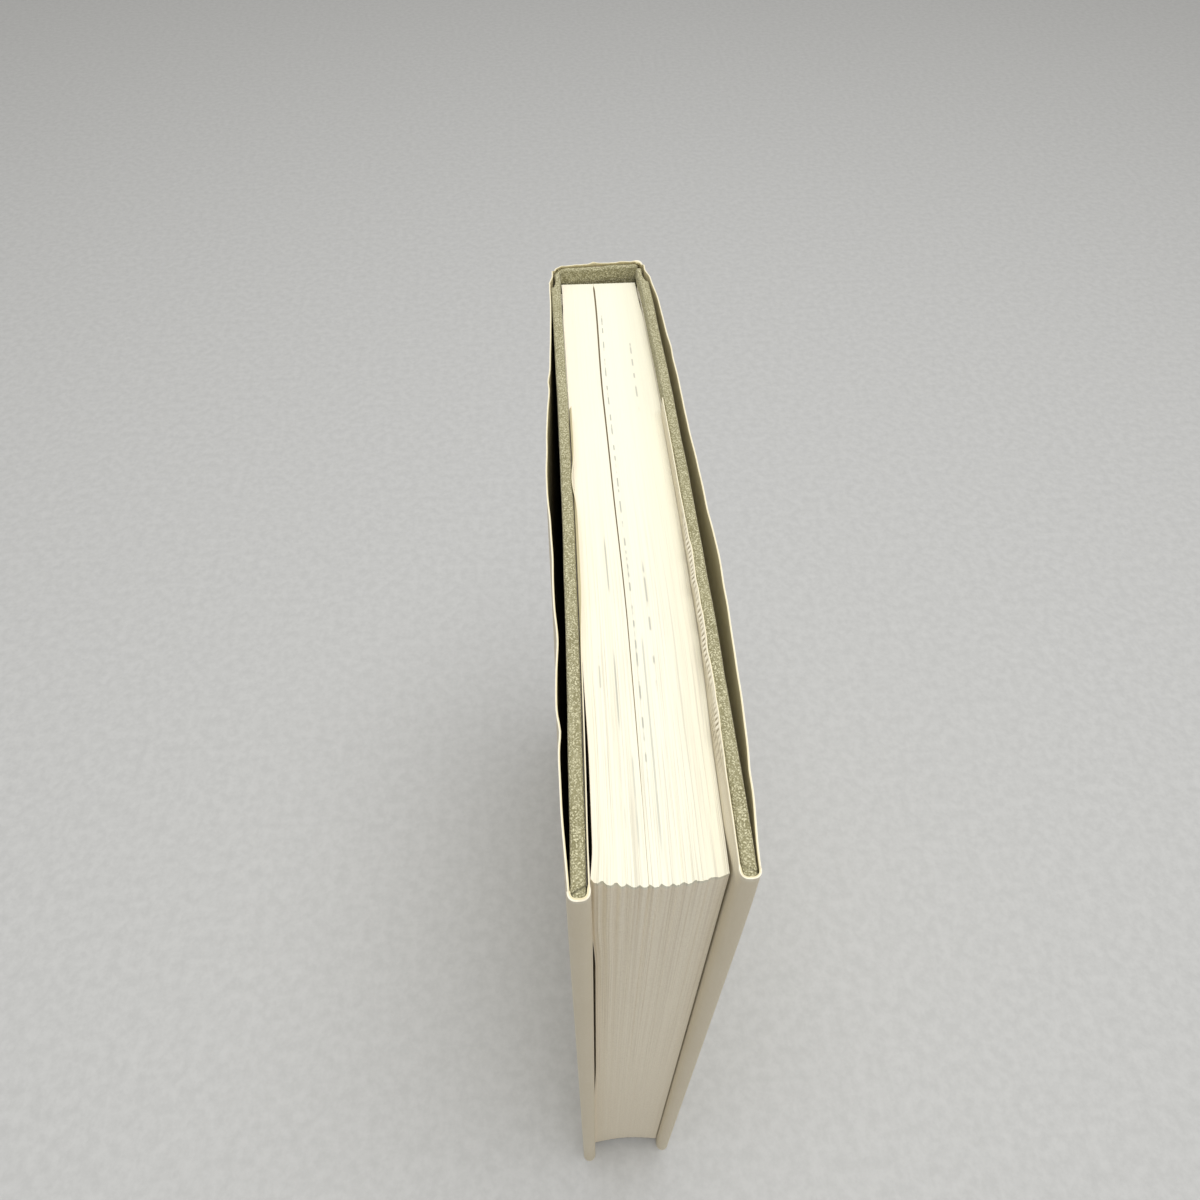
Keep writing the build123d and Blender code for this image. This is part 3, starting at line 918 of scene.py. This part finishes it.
def fold_wear(panel, fold, flap, below):
    """Push of the fold round the fore-edge. At the head it is drawn in to the board's tip, and squared by
    the sine of twice its angle, squared."""
    is_panel, is_fold, is_flap = (row < far_away for row in (panel, fold, flap))
    near_head = np.exp(-below / head_fade)
    beside = ease(panel, cover_length - 14, cover_length - 2) * is_panel
    by_fold = is_fold + (1 - off_fold(flap)) * is_flap + beside
    angle = np.clip(fold, 0, np.pi)
    squared = np.sin(2 * angle) ** 2 * is_fold
    return (0.12 * squared - 0.3 * by_fold) * near_head - 0.04 * np.sin(angle) * is_fold


def spine_wear(spine, below):
    """Push and dip of the spine: its head leans in, with a crest pinched up near the middle and a flattened
    front corner, both bells, and its rim is uneven."""
    is_spine = spine < far_away
    leaned = -0.18 * np.exp(-below / 6.0) - 0.3 * ease(-below, -1.2, -0.1)
    knocked = 0.5 * hump(spine, spine_crest, 0.8) - 0.3 * hump(spine, flattened_corner, 1.2)
    knocked = knocked + 0.06 * sway(spine, 6.0, 61)
    push = is_spine * (leaned + knocked * np.exp(-below) - 0.06)
    off_crest = 1 - hump(spine, spine_crest, 1.2)
    return push, is_spine * (0.1 + 0.08 * sway(spine, 5.0, 62)) * rim_share(below) * off_crest


def rim_thickness(side, spine, fold, flap, below):
    """How much the head's rim is thickened: turned over at the spine's back corner, rolled at the fold, and
    thinned on the flap."""
    is_spine, is_fold, is_flap = (row < far_away for row in (spine, fold, flap))
    rolled = 0.2 if side == FRONT else 0.06
    turned_over = is_spine * 0.75 * hump(spine, turned_corner, 0.9) * ease(-below, -1.6, -0.2)
    at_fold = rolled * is_fold * ease(-below, -0.9, -0.1)
    return turned_over + at_fold - 0.1 * is_flap * ease(-below, -0.9, 0)


def front_flap_wear(flap, to_board, below):
    """Push and dip of the front flap: it lies against the board below its rim, and leaves it at the rim but
    for one bulge, a bell."""
    is_flap = flap < far_away
    at_board = 0.95 * ease(-flap, -52, -36) + hump(flap, front_bulge, 5.0)
    held = ease(below, 0.1, 1.0) + at_board * ease(-below, -1.0, -0.1)
    leaned = 0.16 * ease(flap, 40, 52) * (1 - hump(flap, front_bulge, 7.0))
    leaned = leaned - 0.32 * hump(flap, front_bulge, 4.5)
    push = is_flap * leaned * ease(-below, -0.75, -0.1) - off_fold(flap) * to_board * held
    return push, is_flap * 0.12 * (1 + sway(flap, 24.0, 72)) * rim_share(below)


def back_flap_wear_and_shade(flap, to_pages, to_board, below):
    """Push, dip and painted shade of the back flap: it leans from the pages up to the board, and its rim
    curls over the board's edge, twisted like a slack rope by slanting grooves, a sine along the flap.
    Painted shade lies in the grooves and in a line below them."""
    is_flap = flap < far_away
    push = off_fold(flap) * (to_pages * ease(below, 1.2, 3.0) - to_board * ease(-below, -3.0, -1.2))
    curled = is_flap * ease(flap, *curl_grows) * (1 - ease(flap, *curl_fades))
    curl = np.clip(1 - below / curl_height, 0, 1)
    push = push - curled * curl_reach * curl ** 1.5
    turns = flap / groove_pitch + groove_slant * below + 0.4 * sway(flap, 15.0, 81)
    groove = 0.5 + 0.5 * np.sin(2 * np.pi * turns)
    smooth_patch = 1 - 0.9 * hump(flap, 28, 3.0) - 0.5 * hump(flap, 47, 2.5)
    twisted = curled * smooth_patch * (0.85 + 0.3 * sway(flap, 7.0, 82))
    ridge = groove_depth * (1 - groove) * ease(-below, -3.2, -1.6) * ease(below, 0.1, 0.7)
    push = push + twisted * ridge + curled * 0.1 * (1 + sway(flap, 14.0, 84)) * np.exp(-below / 2.0)
    dip = is_flap * rim_share(below) * (0.1 + 0.06 * sway(flap, 5.0, 83))
    # Painted shade: dark in the grooves of the curl and in a line below them
    painted_shade = twisted * ease(groove, 0.5, 0.9) * ease(-below, -3.4, -2.6) * ease(below, 0.05, 0.4)
    return push, dip, painted_shade + 0.3 * curled * hump(below, 3.6, 0.8)


def jacket_wear_and_shade(side, marks, room, up):
    """How far each point of the jacket is pushed outwards, how far its rim dips and how much it is
    thickened, from handling, and how much painted shade darkens its creases: the sums of what its panel,
    fold, spine and flap give."""
    spine, panel, fold, flap = (row[:, None] for row in marks)
    to_pages, to_board = (row[:, None] for row in room)
    below = jacket_height - up[None, :]
    panel_push, panel_dip = panel_wear(side, panel, up[None, :])
    spine_push, spine_dip = spine_wear(spine, below)
    if side == FRONT:
        flap_push, flap_dip = front_flap_wear(flap, to_board, below)
        painted_shade = np.zeros(flap_push.shape)
    else:
        flap_push, flap_dip, painted_shade = back_flap_wear_and_shade(flap, to_pages, to_board, below)
    push = panel_push + fold_wear(panel, fold, flap, below) + spine_push + flap_push
    dip = np.clip(panel_dip + spine_dip + flap_dip, 0, 1.2)
    return push, dip, rim_thickness(side, spine, fold, flap, below), np.clip(painted_shade, 0, 1)


def make_jacket(side, material):
    """One half of the jacket, from the middle of the spine to the end of its flap: the path carried up the
    height, pushed out and dipped by its wear, a little thicker at the frayed rims."""
    path, marks, room = jacket_stations(side)
    up = np.unique(np.concatenate([np.linspace(*row) for row in jacket_rows]))
    push, dip, thick, painted_shade = jacket_wear_and_shade(side, marks, room, up)
    outward = outward_of(path, side)
    rim = ease(up, jacket_height - 1.0, jacket_height) + ease(-up, -1.0, 0)
    thickness = jacket_thickness * (1 + 0.3 * rim)[None, :] + thick
    rise = np.tile(up, (len(path), 1)) - dip
    points, quads, pattern, (i, j, k) = sheet_skin(path, outward, rise, thickness)
    points[:, :2] += outward[i] * push[i, k][:, None]
    pattern[:, 0] *= side
    name = COVER_NAME[side]
    piece = make_piece(f"{name}_jacket", points, quads, material, pattern, crease=50,
                       painted_shade=painted_shade[i, k] * j)
    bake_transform(piece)
    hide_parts(f"jacket_{name}", *(["jacket_spine"] if side == FRONT else []))


# Studio

camera_place = (-11.448, -119.962, 323.744)
camera_pitch, camera_yaw, camera_roll = 50.535, 3.589, 0.189
focal_pixels, image_pixels, sensor_width = 903.27, 1200, 36.0
floor_half = 3.0


def make_camera():
    """The photograph's view: down on the head from in front of the fore-edge."""
    camera = bpy.data.cameras.new("camera")
    camera.sensor_width = sensor_width
    camera.lens = sensor_width * focal_pixels / image_pixels
    camera.clip_start = 0.01
    viewer = bpy.data.objects.new("camera", camera)
    turn = Matrix.Rotation(math.radians(-camera_yaw), 4, "Z")
    tilt = Matrix.Rotation(math.radians(90 - camera_pitch), 4, "X")
    roll = Matrix.Rotation(math.radians(camera_roll), 4, "Z")
    place = Matrix.Translation([value * MM for value in camera_place])
    viewer.matrix_world = place @ turn @ tilt @ roll
    bpy.context.scene.collection.objects.link(viewer)
    bpy.context.scene.camera = viewer


def make_floor():
    """A plain pale floor."""
    mesh = bpy.data.meshes.new("floor")
    plan = [(-1, -1), (1, -1), (1, 1), (-1, 1)]
    mesh.from_pydata([(x * floor_half, y * floor_half, 0) for x, y in plan], [], [(0, 1, 2, 3)])
    material, tree, shader = start_material("floor", Roughness=0.95, Specular_IOR_Level=0.1)
    shade = grain(tree, object_place(tree), 0.25, 6.0, 0.7)
    colour = tint(tree, remap(tree, shade, 0.3, 0.7), (0.50, 0.505, 0.50), (0.56, 0.565, 0.56))
    tree.links.new(colour, shader.inputs["Base Color"])
    mesh.materials.append(material)
    floor = bpy.data.objects.new("floor", mesh)
    bpy.context.scene.collection.objects.link(floor)


def make_light(name, place, target, size, power):
    """A square soft light at place, turned to target. Metres and watts."""
    lamp = bpy.data.lights.new(name, "AREA")
    lamp.size = size
    lamp.energy = power
    holder = bpy.data.objects.new(name, lamp)
    towards = Vector(target) - Vector(place)
    turn = towards.to_track_quat("-Z", "Y").to_matrix().to_4x4()
    holder.matrix_world = Matrix.Translation(place) @ turn
    bpy.context.scene.collection.objects.link(holder)


def make_studio():
    """One large lamp overhead, and an even warm fill."""
    make_camera()
    make_floor()
    make_light("overhead", (0.1, -0.08, 1.3), (0, 0, 0.15), 0.8, 12.0)
    world = bpy.data.worlds.new("studio")
    world.use_nodes = True
    world.node_tree.nodes["Background"].inputs["Color"].default_value = (1.0, 0.975, 0.94, 1.0)
    world.node_tree.nodes["Background"].inputs["Strength"].default_value = 0.48
    bpy.context.scene.world = world
    bpy.context.scene.view_settings.view_transform = "Standard"


def finish_solid(node, material):
    """Give a solid of the frame that stays in view its finish."""
    mesh = frame["nodes"][node].data
    mesh.materials.clear()
    mesh.materials.append(material)


make_studio()
make_page_leaves(page_paper())
cloth, paper, lining_paper = book_cloth(), jacket_paper(), endpaper()
make_spine_cloth(cloth)
for cover_side in (FRONT, BACK):
    make_cover_cloth(cover_side, cloth)
    make_joint_cloth(cover_side, cloth)
    make_pastedown(cover_side, lining_paper)
    make_gutter(cover_side, lining_paper)
    make_jacket(cover_side, paper)
board = pressed_board("grey_board", (0.42, 0.40, 0.36), (0.30, 0.28, 0.25))
finish_solid("front_board", board)
finish_solid("back_board", board)
finish_solid("spine_inlay", pressed_board("inlay_card", (0.55, 0.49, 0.38), (0.42, 0.36, 0.27)))
finish_solid("spine_lining", lining_gauze())
